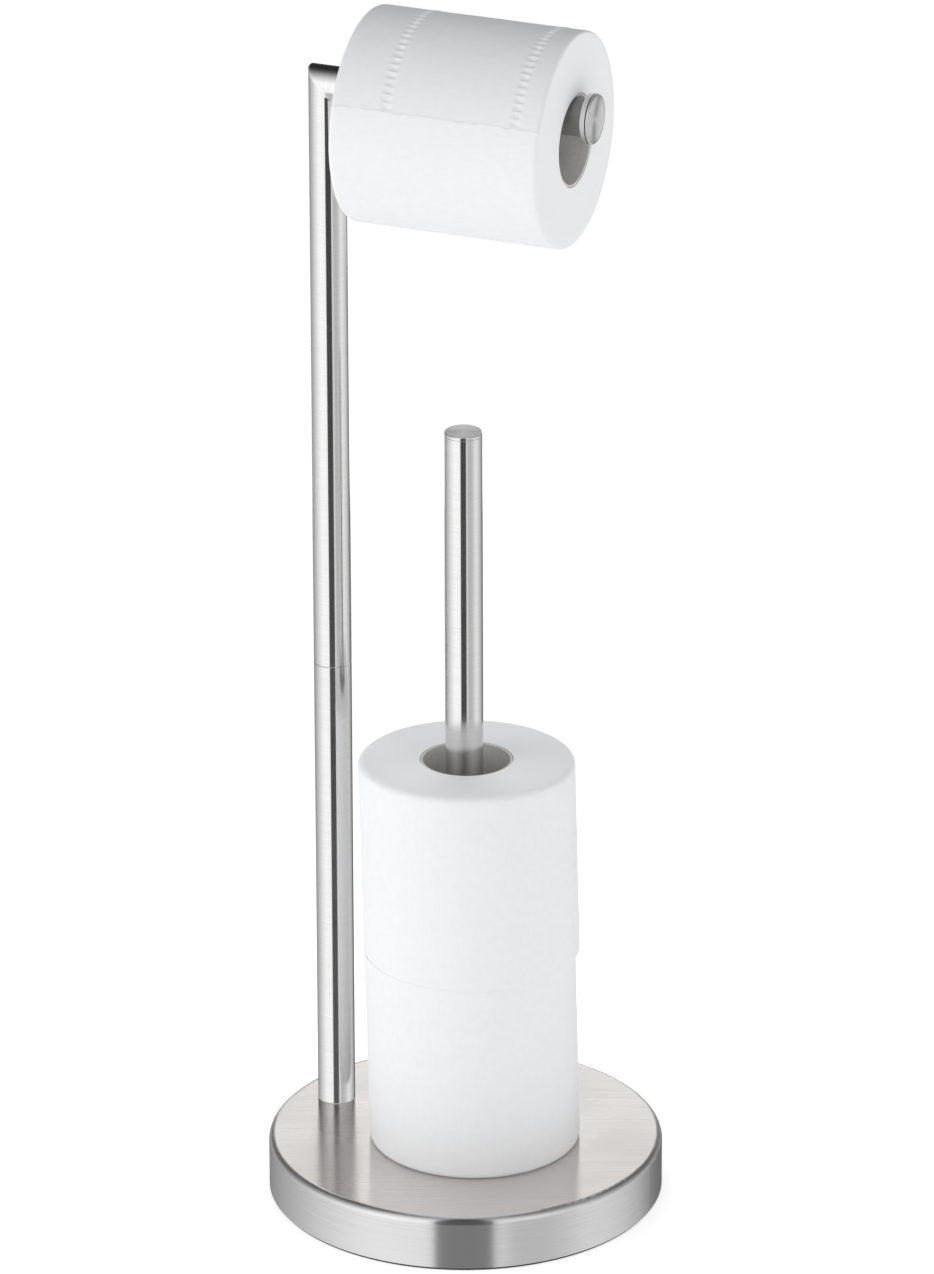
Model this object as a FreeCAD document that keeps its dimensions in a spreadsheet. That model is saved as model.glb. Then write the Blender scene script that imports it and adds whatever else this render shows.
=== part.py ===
"""Free-standing toilet roll holder: weighted round base, two-length post with a mitred arm,
and an upright storage rod, with one roll on the arm and two spare rolls on the rod.

The origin is at the middle of the base, on the floor. +Z is up and +X runs along the arm.
"""
import FreeCAD
import Part
import Sketcher
import math
import os
import re

V = FreeCAD.Vector

# Every size that can be set by itself, in millimetres or degrees.
SIZES = [
    ("base_diameter", 200.0, "outside of the base cover"),
    ("cover_height", 27.5, "base cover, lower edge to top"),
    ("cover_wall", 0.8, "sheet of the base cover"),
    ("cover_edge_radius", 3.5, "rounded rim of the base cover, outside"),
    ("pad_proud", 1.5, "how far the pad lifts the cover off the floor"),
    ("pad_thickness", 3.0, "non-slip pad"),
    ("base_fit_gap", 0.5, "radial gap from the weight and the pad to the cover"),
    ("tube_diameter", 19.0, "post, arm and rod tubes"),
    ("tube_wall", 1.0, "wall of the tubes"),
    ("tube_end_chamfer", 0.3, "eased tube ends, which show as a fine line at the joint"),
    ("post_inset", 22.5, "edge of the base to the middle of the post"),
    ("post_bearing", 170.0, "direction of the post from the middle of the base, from +X"),
    ("post_joint_height", 272.5, "floor to the joint between the post's two lengths"),
    ("arm_height", 580.5, "floor to the middle of the arm"),
    ("arm_end_room", 6.2, "end of the roll on the arm to the open end of the arm tube"),
    ("rod_height", 384.0, "top of the base to the top of the rod"),
    ("cap_thickness", 1.5, "plate of the rod's top cap"),
    ("cap_spigot_length", 12.0, "spigot of the rod's top cap"),
    ("cap_edge_radius", 0.4, "eased rim of the rod's top cap"),
    ("insert_length", 18.0, "threaded plugs in the tube ends"),
    ("insert_gap", 0.05, "radial gap from a plug or spigot to its tube"),
    ("stud_length", 32.0, "stud that joins the post's two lengths"),
    ("thread_diameter", 8.0, "fixing screws and joining stud"),
    ("thread_gap", 0.1, "radial gap round a screw thread"),
    ("screw_length", 30.0, "fixing screw under its head"),
    ("screw_head_diameter", 13.0, "fixing screw's head"),
    ("screw_head_height", 8.0, "fixing screw's head"),
    ("screw_socket_width", 6.0, "hexagon socket, across flats"),
    ("screw_socket_depth", 4.0, "hexagon socket"),
    ("screw_hole_gap", 0.5, "radial gap from a fixing screw to its hole in the base"),
    ("washer_diameter", 20.0, "washer under a fixing screw's head"),
    ("washer_thickness", 1.6, "washer under a fixing screw's head"),
    ("pocket_gap", 2.0, "radial gap from a washer to its counterbore and to the hole in the pad"),
    ("pocket_depth", 13.0, "counterbore for the screw head"),
    ("knob_diameter", 25.0, "end knob of the arm"),
    ("knob_thickness", 4.4, "head of the end knob"),
    ("knob_edge_radius", 0.5, "eased edges of the end knob"),
    ("knob_groove_width", 0.6, "turned line round the end knob's rim"),
    ("knob_groove_depth", 0.5, "turned line round the end knob's rim"),
    ("knob_groove_offset", 1.1, "front face of the end knob to its turned line"),
    ("knob_rim_width", 1.5, "flat rim round the dished front face of the end knob"),
    ("knob_dish_depth", 0.7, "dished front face of the end knob"),
    ("knob_thread_diameter", 6.0, "threaded stem of the end knob"),
    ("knob_thread_length", 12.0, "threaded stem of the end knob"),
    ("core_bore", 44.0, "inside of a roll's cardboard core"),
    ("core_wall", 0.8, "wall of a roll's cardboard core"),
    ("core_gap", 0.1, "radial gap from the paper to its core"),
    ("hanging_roll_diameter", 108.4, "roll on the arm"),
    ("hanging_roll_width", 108.6, "roll on the arm"),
    ("hanging_roll_start", 21.7, "middle of the post to the near end of the roll on the arm"),
    ("hanging_gap", 0.3, "running gap between the arm and the core that turns on it"),
    ("spare_roll_diameter", 108.0, "spare rolls on the rod"),
    ("spare_roll_width", 105.2, "spare rolls on the rod"),
    ("spare_shift_x", 3.8, "spare rolls stand off the rod's middle, along X"),
    ("spare_shift_y", -1.3, "spare rolls stand off the rod's middle, along Y"),
    ("paper_edge_radius", 3.0, "soft edges of the wound paper"),
    ("paper_end_step", 0.5, "free end of the paper on the arm, which stands off the turn under it"),
    ("paper_end_bearing", 23.0, "height of that free end on the front of the roll, from level"),
]

# Places and sizes that follow from the ones above.
BASE_TOP = "(pad_proud + cover_height)"
COVER_INSIDE = "(base_diameter / 2 - cover_wall)"
CEILING = "(pad_proud + cover_height - cover_wall)"
TUBE_RADIUS = "(tube_diameter / 2)"
TUBE_BORE = "(tube_diameter / 2 - tube_wall)"
INSERT_RADIUS = "(tube_diameter / 2 - tube_wall - insert_gap)"
THREAD_HOLE = "(thread_diameter / 2 + thread_gap)"
POST_REACH = "(base_diameter / 2 - post_inset)"
POST_X = f"({POST_REACH} * cos(post_bearing))"
POST_Y = f"({POST_REACH} * sin(post_bearing))"
ARM_LENGTH = "(hanging_roll_start + hanging_roll_width + arm_end_room)"
SCREW_HOLE = "(thread_diameter / 2 + screw_hole_gap)"
POCKET_RADIUS = "(washer_diameter / 2 + pocket_gap)"
SCREW_SEAT = "(pad_thickness + pocket_depth)"
ROD_TUBE_LENGTH = "(rod_height - cap_thickness)"
CORE_RADIUS = "(core_bore / 2 + core_wall)"
PAPER_BORE = "(core_bore / 2 + core_wall + core_gap)"
HANGING_DROP = "(core_bore / 2 - tube_diameter / 2 - hanging_gap)"

doc = FreeCAD.newDocument("toilet_roll_holder")
sheet = doc.addObject("Spreadsheet::Sheet", "Sizes")
for row, (alias, value, note) in enumerate(SIZES, start=1):
    sheet.set(f"A{row}", str(value))
    sheet.setAlias(f"A{row}", alias)
    sheet.set(f"B{row}", note)
doc.recompute()

ALIAS = re.compile(r"\b(" + "|".join(alias for alias, _, _ in SIZES) + r")\b")
subparts = []


def cells(text):
    """The expression with each size named as a cell of the sheet."""
    return ALIAS.sub(r"Sizes.\1", text)


def number(text):
    """The expression's value at the sizes in the sheet."""
    return float(sheet.evalExpression(text))


def tie(thing, prop, text):
    thing.setExpression(prop, cells(text))


def new_body(label, x="0", y="0", z="0", along_x=False):
    """An empty body at its place; along_x turns its own Z axis to lie along the arm."""
    body = doc.addObject("PartDesign::Body", label)
    body.Label = label
    if along_x:
        body.Placement = FreeCAD.Placement(V(0, 0, 0), FreeCAD.Rotation(V(0, 1, 0), 90))
    for axis, text in zip("xyz", (x, y, z)):
        tie(body, f"Placement.Base.{axis}", text)
    subparts.append(body)
    return body


def new_sketch(body, name, role):
    """A sketch on one of the body's own origin planes."""
    sketch = body.newObject("Sketcher::SketchObject", name)
    plane = [part for part in body.Origin.OriginFeatures if part.Role == role][0]
    sketch.AttachmentSupport = [(plane, "")]
    sketch.MapMode = "FlatFace"
    return sketch


def set_place(sketch, geometry, point, x, y):
    """Ties a point of a sketch to its distances from the sketch's origin."""
    for kind, axis, text in (("DistanceX", -2, x), ("DistanceY", -1, y)):
        distance = number(text)
        if text == "0":
            sketch.addConstraint(Sketcher.Constraint("PointOnObject", geometry, point, axis))
        elif distance < 0:
            index = sketch.addConstraint(Sketcher.Constraint(kind, geometry, point, -1, 1, -distance))
            tie(sketch, f"Constraints[{index}]", f"-({text})")
        else:
            index = sketch.addConstraint(Sketcher.Constraint(kind, -1, 1, geometry, point, distance))
            tie(sketch, f"Constraints[{index}]", text)


def draw_outline(sketch, points):
    """A closed outline of straight lines through the points, each tied to the sheet."""
    places = [V(number(x), number(y), 0) for x, y in points]
    count = len(points)
    for i in range(count):
        sketch.addGeometry(Part.LineSegment(places[i], places[(i + 1) % count]))
    for i in range(count):
        sketch.addConstraint(Sketcher.Constraint("Coincident", i, 2, (i + 1) % count, 1))
    for i, (x, y) in enumerate(points):
        set_place(sketch, i, 1, x, y)


def draw_circle(sketch, radius, x="0", y="0"):
    circle = Part.Circle(V(number(x), number(y), 0), V(0, 0, 1), number(radius))
    index = sketch.addGeometry(circle)
    set_place(sketch, index, 3, x, y)
    size = sketch.addConstraint(Sketcher.Constraint("Radius", index, circle.Radius))
    tie(sketch, f"Constraints[{size}]", radius)


def turn(body, name, points):
    """A turned form: the outline of radius and height, spun about the body's Z axis."""
    sketch = new_sketch(body, f"{name}_profile", "XZ_Plane")
    draw_outline(sketch, points)
    form = body.newObject("PartDesign::Revolution", name)
    form.Profile = sketch
    form.ReferenceAxis = (sketch, ["V_Axis"])
    form.Angle = 360
    doc.recompute()
    return form


def pad_ring(body, name, outer, inner, length):
    """A straight tube from the body's XY plane upwards."""
    sketch = new_sketch(body, f"{name}_section", "XY_Plane")
    draw_circle(sketch, outer)
    draw_circle(sketch, inner)
    form = body.newObject("PartDesign::Pad", name)
    form.Profile = sketch
    tie(form, "Length", length)
    doc.recompute()
    return form


def cut_through(body, name, sketch, volume_before):
    """A pocket both ways through the body, checked to have removed something."""
    pocket = body.newObject("PartDesign::Pocket", name)
    pocket.Profile = sketch
    pocket.SideType = "Symmetric"
    pocket.Type = "ThroughAll"
    doc.recompute()
    if pocket.Shape.Volume > volume_before * 0.99999:
        raise RuntimeError(f"{name} cuts nothing")
    return pocket


def ease_edges(body, name, feature, kind, size, wanted):
    """Rounds or chamfers the round edges of the feature for which wanted(radius, height) is true."""
    edges = []
    for i, edge in enumerate(feature.Shape.Edges, start=1):
        if isinstance(edge.Curve, Part.Circle) and wanted(edge.Curve.Radius, edge.Curve.Center.z):
            edges.append(f"Edge{i}")
    if not edges:
        raise RuntimeError(f"{name} finds no edge")
    ease = body.newObject(f"PartDesign::{kind}", name)
    ease.Base = (feature, edges)
    tie(ease, "Radius" if kind == "Fillet" else "Size", size)
    doc.recompute()
    return ease


def near(a, text):
    return math.isclose(a, number(text), abs_tol=1e-4)


def make_base_cover():
    """Drawn sheet cover with a rounded rim, open below, with a hole under the post and the rod."""
    body = new_body("base_cover", z="pad_proud")
    outside = "base_diameter / 2"
    under = "(cover_height - cover_wall)"
    shell = turn(body, "drawn_shell", [("0", "cover_height"), (outside, "cover_height"), (outside, "0"),
                                       (COVER_INSIDE, "0"), (COVER_INSIDE, under), ("0", under)])
    rim = ease_edges(body, "rim_outside", shell, "Fillet", "cover_edge_radius",
                     lambda r, z: near(r, outside) and near(z, "cover_height"))
    rim = ease_edges(body, "rim_inside", rim, "Fillet", "cover_edge_radius - cover_wall",
                     lambda r, z: near(r, COVER_INSIDE) and near(z, under))
    holes = new_sketch(body, "screw_holes", "XY_Plane")
    draw_circle(holes, SCREW_HOLE)
    draw_circle(holes, SCREW_HOLE, POST_X, POST_Y)
    cut_through(body, "screw_hole_cut", holes, rim.Shape.Volume)


def make_base_weight():
    """Cast ballast that fills the cover, with two screw holes counterbored from below."""
    body = new_body("base_weight", z="pad_thickness")
    radius = f"({COVER_INSIDE} - base_fit_gap)"
    height = f"({CEILING} - pad_thickness)"
    disc = turn(body, "cast_disc", [("0", "0"), (radius, "0"), (radius, height), ("0", height)])
    edge = ease_edges(body, "top_edge", disc, "Fillet", "cover_edge_radius",
                      lambda r, z: near(r, radius) and near(z, height))
    holes = new_sketch(body, "screw_holes", "XY_Plane")
    pockets = new_sketch(body, "head_pockets", "XY_Plane")
    for x, y in (("0", "0"), (POST_X, POST_Y)):
        draw_circle(holes, SCREW_HOLE, x, y)
        draw_circle(pockets, POCKET_RADIUS, x, y)
    drilled = cut_through(body, "screw_hole_cut", holes, edge.Shape.Volume)
    bores = body.newObject("PartDesign::Pocket", "head_pocket_cut")
    bores.Profile = pockets
    bores.Reversed = True
    tie(bores, "Length", "pocket_depth")
    doc.recompute()
    if bores.Shape.Volume >= drilled.Shape.Volume:
        raise RuntimeError("head_pocket_cut cuts nothing")


def make_base_pad():
    """Non-slip pad, set just inside the cover, with two holes that reach the screws."""
    body = new_body("base_pad")
    radius = f"({COVER_INSIDE} - base_fit_gap)"
    disc = turn(body, "pad_disc", [("0", "0"), (radius, "0"), (radius, "pad_thickness"), ("0", "pad_thickness")])
    holes = new_sketch(body, "access_holes", "XY_Plane")
    draw_circle(holes, POCKET_RADIUS)
    draw_circle(holes, POCKET_RADIUS, POST_X, POST_Y)
    cut_through(body, "access_hole_cut", holes, disc.Shape.Volume)


def make_straight_tube(label, x, y, z, length):
    """A plain tube with eased outer edges at both ends."""
    body = new_body(label, x, y, z)
    tube = pad_ring(body, "tube", TUBE_RADIUS, TUBE_BORE, length)
    ease_edges(body, "eased_ends", tube, "Chamfer", "tube_end_chamfer", lambda r, z: near(r, TUBE_RADIUS))


def make_mitred_tube(body, length, waste, eased_height):
    """A tube cut at 45 degrees at one end and eased at the other; waste is the corner that is cut away."""
    tube = pad_ring(body, "tube", TUBE_RADIUS, TUBE_BORE, length)
    corner = new_sketch(body, "mitre_waste", "XZ_Plane")
    draw_outline(corner, waste)
    mitred = cut_through(body, "mitre", corner, tube.Shape.Volume)
    ease_edges(body, "eased_end", mitred, "Chamfer", "tube_end_chamfer",
               lambda r, z: near(r, TUBE_RADIUS) and near(z, eased_height))


def make_post_and_arm():
    """The lower tube, and the upper tube with the arm, which meet at a welded mitre."""
    make_straight_tube("post_lower_tube", POST_X, POST_Y, BASE_TOP, f"post_joint_height - {BASE_TOP}")
    rise = "(arm_height - post_joint_height)"
    beyond = "tube_diameter"
    upper = new_body("post_upper_tube", POST_X, POST_Y, "post_joint_height")
    make_mitred_tube(upper, f"{rise} + {TUBE_RADIUS}",
                     [(f"-{beyond}", f"{rise} + {beyond}"), (beyond, f"{rise} - {beyond}"),
                      (beyond, f"{rise} + {beyond}")], "0")
    arm = new_body("arm_tube", f"{POST_X} - {TUBE_RADIUS}", POST_Y, "arm_height", along_x=True)
    length = f"({ARM_LENGTH} + {TUBE_RADIUS})"
    make_mitred_tube(arm, length,
                     [(f"-{beyond}", f"{TUBE_RADIUS} - {beyond}"), (beyond, f"{TUBE_RADIUS} - {beyond}"),
                      (beyond, f"{TUBE_RADIUS} + {beyond}")], length)


def make_insert(label, x, y, z, hole=THREAD_HOLE, along_x=False):
    """A threaded plug fixed flush in a tube's end."""
    body = new_body(label, x, y, z, along_x)
    pad_ring(body, "plug", INSERT_RADIUS, hole, "insert_length")


def make_inserts():
    make_insert("post_foot_insert", POST_X, POST_Y, BASE_TOP)
    make_insert("post_lower_top_insert", POST_X, POST_Y, "post_joint_height - insert_length")
    make_insert("post_upper_bottom_insert", POST_X, POST_Y, "post_joint_height")
    make_insert("storage_rod_foot_insert", "0", "0", BASE_TOP)
    make_insert("arm_end_insert", f"{POST_X} + {ARM_LENGTH} - insert_length", POST_Y, "arm_height",
                "(knob_thread_diameter / 2 + thread_gap)", along_x=True)


def make_joining_stud():
    """Stud half in the lower tube's plug and half in the upper tube's."""
    body = new_body("post_joining_stud", POST_X, POST_Y, "post_joint_height - stud_length / 2")
    radius = "thread_diameter / 2"
    turn(body, "stud", [("0", "0"), (radius, "0"), (radius, "stud_length"), ("0", "stud_length")])


def make_end_knob():
    """Turned knob: a stem for the arm's plug, a disc with a turned line round its rim, and a dished face."""
    body = new_body("arm_end_knob", f"{POST_X} + {ARM_LENGTH}", POST_Y, "arm_height", along_x=True)
    stem = "knob_thread_diameter / 2"
    rim = "knob_diameter / 2"
    waist = "(knob_diameter / 2 - knob_groove_depth)"
    front = "knob_thickness"
    line_front = "(knob_thickness - knob_groove_offset)"
    line_back = "(knob_thickness - knob_groove_offset - knob_groove_width)"
    disc = turn(body, "turned_disc", [("0", "-knob_thread_length"), (stem, "-knob_thread_length"), (stem, "0"),
                                      (rim, "0"), (rim, line_back), (waist, line_back), (waist, line_front),
                                      (rim, line_front), (rim, front), ("0", front)])
    eased = ease_edges(body, "eased_rims", disc, "Fillet", "knob_edge_radius",
                       lambda r, z: near(r, rim) and (near(z, front) or near(z, "0")))
    dish = body.newObject("PartDesign::SubtractiveSphere", "dished_face")
    half = "(knob_diameter / 2 - knob_rim_width)"
    ball = f"(({half} ^ 2 + knob_dish_depth ^ 2) / (2 * knob_dish_depth))"
    tie(dish, "Radius", ball)
    tie(dish, "Placement.Base.z", f"knob_thickness - knob_dish_depth + {ball}")
    doc.recompute()
    if dish.Shape.Volume >= eased.Shape.Volume:
        raise RuntimeError("dished_face cuts nothing")


def make_rod_cap():
    """Flat cap as wide as the rod, with a spigot pressed into the tube."""
    body = new_body("storage_rod_top_cap", z=f"{BASE_TOP} + {ROD_TUBE_LENGTH}")
    plate = turn(body, "cap", [("0", "-cap_spigot_length"), (INSERT_RADIUS, "-cap_spigot_length"),
                               (INSERT_RADIUS, "0"), (TUBE_RADIUS, "0"), (TUBE_RADIUS, "cap_thickness"),
                               ("0", "cap_thickness")])
    ease_edges(body, "eased_rim", plate, "Fillet", "cap_edge_radius",
               lambda r, z: near(r, TUBE_RADIUS) and near(z, "cap_thickness"))


def make_pair(label, make_one):
    """One node of two like solids, under the rod and under the post."""
    group = doc.addObject("Part::Compound", label)
    group.Label = label
    pair = []
    for place, x, y in (("rod", "0", "0"), ("post", POST_X, POST_Y)):
        make_one(f"{label}_{place}", x, y)
        pair.append(subparts.pop())
    group.Links = pair
    subparts.append(group)


def make_screw(label, x, y):
    """Socket-head screw, head down, up into the plug of its tube."""
    body = new_body(label, x, y, f"{SCREW_SEAT} - washer_thickness - screw_head_height")
    head = "screw_head_diameter / 2"
    shank = "thread_diameter / 2"
    tip = "(screw_head_height + screw_length)"
    blank = turn(body, "blank", [("0", "0"), (head, "0"), (head, "screw_head_height"),
                                 (shank, "screw_head_height"), (shank, tip), ("0", tip)])
    socket = body.newObject("PartDesign::SubtractivePrism", "hexagon_socket")
    socket.Polygon = 6
    tie(socket, "Circumradius", "screw_socket_width / sqrt(3)")
    tie(socket, "Height", "screw_socket_depth")
    doc.recompute()
    if socket.Shape.Volume >= blank.Shape.Volume:
        raise RuntimeError("hexagon_socket cuts nothing")


def make_washer(label, x, y):
    body = new_body(label, x, y, f"{SCREW_SEAT} - washer_thickness")
    pad_ring(body, "ring", "washer_diameter / 2", THREAD_HOLE, "washer_thickness")


def make_core(label, width, x, y, z, along_x=False):
    """Cardboard tube that a roll is wound on."""
    core = new_body(label, x, y, z, along_x)
    pad_ring(core, "cardboard_tube", CORE_RADIUS, "core_bore / 2", width)


def draw_soft_section(sketch, axis_x, outside, width):
    """Half section of wound paper from its axis to its side, with the two soft edges as arcs."""
    left, right, top = number(axis_x), number(outside), number(width)
    soft = number("paper_edge_radius")
    foot, side, head, middle, low_arc, high_arc = range(6)
    sketch.addGeometry(Part.LineSegment(V(left, 0, 0), V(right - soft, 0, 0)))
    sketch.addGeometry(Part.LineSegment(V(right, soft, 0), V(right, top - soft, 0)))
    sketch.addGeometry(Part.LineSegment(V(right - soft, top, 0), V(left, top, 0)))
    sketch.addGeometry(Part.LineSegment(V(left, top, 0), V(left, 0, 0)))
    for height, first in ((soft, -math.pi / 2), (top - soft, 0)):
        corner = Part.Circle(V(right - soft, height, 0), V(0, 0, 1), soft)
        sketch.addGeometry(Part.ArcOfCircle(corner, first, first + math.pi / 2))
    for before, after in ((foot, low_arc), (low_arc, side), (side, high_arc), (high_arc, head)):
        sketch.addConstraint(Sketcher.Constraint("Tangent", before, 2, after, 1))
    for before, after in ((head, middle), (middle, foot)):
        sketch.addConstraint(Sketcher.Constraint("Coincident", before, 2, after, 1))
    for line, way in ((foot, "Horizontal"), (side, "Vertical"), (head, "Horizontal"), (middle, "Vertical")):
        sketch.addConstraint(Sketcher.Constraint(way, line))
    for arc in (low_arc, high_arc):
        index = sketch.addConstraint(Sketcher.Constraint("Radius", arc, soft))
        tie(sketch, f"Constraints[{index}]", "paper_edge_radius")
    set_place(sketch, foot, 1, axis_x, "0")
    for kind, line, size in (("DistanceX", side, outside), ("DistanceY", head, width)):
        index = sketch.addConstraint(Sketcher.Constraint(kind, -1, 1, line, 1, number(size)))
        tie(sketch, f"Constraints[{index}]", size)


def wind_half(body, name, bearing, axis_x, outside, width):
    """Half a turn of wound paper that starts at its bearing, about an axis of its own."""
    sketch = new_sketch(body, f"{name}_section", "XZ_Plane")
    sketch.AttachmentOffset = FreeCAD.Placement(V(0, 0, 0), FreeCAD.Rotation(V(0, 1, 0), number(bearing)))
    tie(sketch, "AttachmentOffset.Rotation.Angle", bearing)
    draw_soft_section(sketch, axis_x, outside, width)
    ends = [V(number(axis_x), 0, 0), V(number(axis_x), number(width), 0)]
    axis = sketch.addGeometry(Part.LineSegment(*ends), True)
    set_place(sketch, axis, 1, axis_x, "0")
    set_place(sketch, axis, 2, axis_x, width)
    half = body.newObject("PartDesign::Revolution", name)
    half.Profile = sketch
    half.ReferenceAxis = (sketch, ["Axis0"])
    half.Angle = 180
    doc.recompute()
    return half


def make_hanging_roll():
    """The roll in use, resting on the arm by the top of its core.

    Two half turns about axes half a step apart make the spiral of the paper, with its free end at the front.
    """
    place = (f"{POST_X} + hanging_roll_start", POST_Y, f"arm_height - {HANGING_DROP}")
    paper = new_body("hanging_roll_paper", *place, along_x=True)
    outside = "hanging_roll_diameter / 2"
    wind_half(paper, "outer_half_turn", "270 - paper_end_bearing", "0", outside, "hanging_roll_width")
    wound = wind_half(paper, "inner_half_turn", "90 - paper_end_bearing", "paper_end_step / 2", outside,
                      "hanging_roll_width")
    bore = new_sketch(paper, "core_bore", "XY_Plane")
    draw_circle(bore, PAPER_BORE)
    cut_through(paper, "core_bore_cut", bore, wound.Shape.Volume)
    make_core("hanging_roll_core", "hanging_roll_width", *place, along_x=True)


def make_spare_rolls():
    """Two unopened rolls, stacked on the base around the rod."""
    outside = "spare_roll_diameter / 2"
    for label, level in (("lower_spare_roll", "0"), ("upper_spare_roll", "spare_roll_width")):
        place = ("spare_shift_x", "spare_shift_y", f"{BASE_TOP} + {level}")
        paper = new_body(f"{label}_paper", *place)
        wound = pad_ring(paper, "wound_paper", outside, PAPER_BORE, "spare_roll_width")
        ease_edges(paper, "soft_edges", wound, "Fillet", "paper_edge_radius", lambda r, z: near(r, outside))
        make_core(f"{label}_core", "spare_roll_width", *place)


def check_and_export():
    """Stops on any failed object or bad shape, then writes one file for each sub-part."""
    doc.recompute()
    for thing in doc.Objects:
        if "Invalid" in thing.State or "Error" in thing.State:
            raise RuntimeError(f"{thing.Label} failed: {thing.State}")
    for part in subparts:
        if part.Shape.isNull() or not part.Shape.isValid():
            raise RuntimeError(f"{part.Label} has no valid shape")
    os.makedirs("parts", exist_ok=True)
    for part in subparts:
        part.Shape.exportStep(f"parts/{part.Label}.step")
        box = part.Shape.BoundBox
        print(f"{part.Label}: {len(part.Shape.Solids)} solid(s), {part.Shape.Volume:.0f} mm3, "
              f"z {box.ZMin:.2f} to {box.ZMax:.2f}")


make_base_cover()
make_base_weight()
make_base_pad()
make_post_and_arm()
make_inserts()
make_joining_stud()
make_end_knob()
make_straight_tube("storage_rod_tube", "0", "0", BASE_TOP, ROD_TUBE_LENGTH)
make_rod_cap()
make_pair("fixing_screws", make_screw)
make_pair("fixing_washers", make_washer)
make_hanging_roll()
make_spare_rolls()
check_and_export()
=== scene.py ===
import math

import bmesh
import bpy
import numpy as np
from mathutils import Matrix, Vector


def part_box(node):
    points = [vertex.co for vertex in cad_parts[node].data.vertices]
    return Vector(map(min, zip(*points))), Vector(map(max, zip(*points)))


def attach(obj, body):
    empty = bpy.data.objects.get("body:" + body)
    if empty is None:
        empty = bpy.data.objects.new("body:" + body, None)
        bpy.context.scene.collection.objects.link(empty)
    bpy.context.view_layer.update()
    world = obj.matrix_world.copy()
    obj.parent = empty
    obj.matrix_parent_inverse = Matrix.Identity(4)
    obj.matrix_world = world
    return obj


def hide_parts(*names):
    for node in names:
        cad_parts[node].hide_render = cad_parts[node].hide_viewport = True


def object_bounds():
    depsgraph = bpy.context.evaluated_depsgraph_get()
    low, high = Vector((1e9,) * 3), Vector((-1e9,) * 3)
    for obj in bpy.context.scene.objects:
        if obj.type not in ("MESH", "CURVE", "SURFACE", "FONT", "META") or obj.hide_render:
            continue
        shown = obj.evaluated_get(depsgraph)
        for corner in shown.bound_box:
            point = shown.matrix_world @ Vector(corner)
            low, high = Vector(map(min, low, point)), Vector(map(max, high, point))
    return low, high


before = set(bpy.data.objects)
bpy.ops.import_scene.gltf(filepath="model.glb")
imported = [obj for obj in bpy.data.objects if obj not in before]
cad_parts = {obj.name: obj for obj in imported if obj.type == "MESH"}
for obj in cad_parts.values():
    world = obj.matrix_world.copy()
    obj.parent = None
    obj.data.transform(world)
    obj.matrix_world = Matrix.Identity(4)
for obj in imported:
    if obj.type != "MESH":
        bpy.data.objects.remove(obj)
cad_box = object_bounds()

# Base cover: a round cap drawn from satin stainless sheet, with a soft rim, dropped over the ballast.
# The sheet's straight brushing runs across its top, and its skirt is brushed round.
MM = 0.001
STEEL_PLAIN = (0.712, 0.709, 0.708, 1)
# The cover's top is painted lighter and warmer than the steel elsewhere, as painted light.
STEEL_TOP_PAINTED_LIGHT = (0.8, 0.768, 0.745, 1)
STEEL_COOL = (0.69, 0.685, 0.695, 1)
# Near black that the steel is darkened towards as painted shade.
STEEL_PAINTED_SHADE = (0.06, 0.055, 0.05, 1)
FINE_LINES = (5200.0, 60.0)
COARSE_LINES = (1900.0, 25.0)
FINE_SHARE = 0.65
LINE_SHADES = (0.95, 1.02)
LINE_GLOSS = (0.02, -0.02)
LINE_DEPTH = 0.03 * MM
LINE_RELIEF = 0.008
HANDLING_DULLS = 0.02
PAINTED_SHADE_DULLS = 0.7
TOP_BRUSHING = math.radians(22)
TOP_FACING = (0.97, 0.999)
TOP_ROUGHNESS = 0.28
SKIRT_ROUGHNESS = 0.23


def node(tree, kind, inputs=None, **settings):
    """A shader node with its settings, and each input set to a value or joined to another node's socket."""
    made = tree.nodes.new(f"ShaderNode{kind}")
    for key, value in settings.items():
        setattr(made, key, value)
    for key, value in (inputs or {}).items():
        if isinstance(value, bpy.types.NodeSocket):
            tree.links.new(value, made.inputs[key])
        else:
            made.inputs[key].default_value = value
    return made


def maths(tree, operation, *values):
    return node(tree, "Math", dict(enumerate(values)), operation=operation).outputs[0]


def vectors(tree, operation, *values):
    made = node(tree, "VectorMath", dict(enumerate(values)), operation=operation)
    return made.outputs["Value" if operation in ("LENGTH", "DOT_PRODUCT") else "Vector"]


def spread(tree, value, low, high, to_low=0.0, to_high=1.0, shape="SMOOTHSTEP"):
    """The value's range from low to high, carried over to another range, smoothly or in a straight line."""
    inputs = {"Value": value, "From Min": low, "From Max": high, "To Min": to_low, "To Max": to_high}
    return node(tree, "MapRange", inputs, interpolation_type=shape).outputs[0]


def blend(tree, share, first, second, kind="RGBA"):
    """A mix of two numbers, vectors or colours."""
    one, two, result = {"FLOAT": (2, 3, 0), "VECTOR": (4, 5, 1), "RGBA": (6, 7, 2)}[kind]
    return node(tree, "Mix", {0: share, one: first, two: second}, data_type=kind).outputs[result]


def shaded(tree, colour, level):
    """A colour made darker or lighter by a level."""
    inputs = {0: 1.0, 6: colour, 7: level}
    return node(tree, "Mix", inputs, data_type="RGBA", blend_type="MULTIPLY").outputs[2]


def new_group(name, inputs, outputs):
    """An empty node group with named sockets, each given as (name, kind), and its two end nodes."""
    group = bpy.data.node_groups.new(name, "ShaderNodeTree")
    for way, sockets in (("INPUT", inputs), ("OUTPUT", outputs)):
        for label, kind in sockets:
            group.interface.new_socket(label, in_out=way, socket_type=f"NodeSocket{kind}")
    return group, group.nodes.new("NodeGroupInput").outputs, group.nodes.new("NodeGroupOutput").inputs


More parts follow.
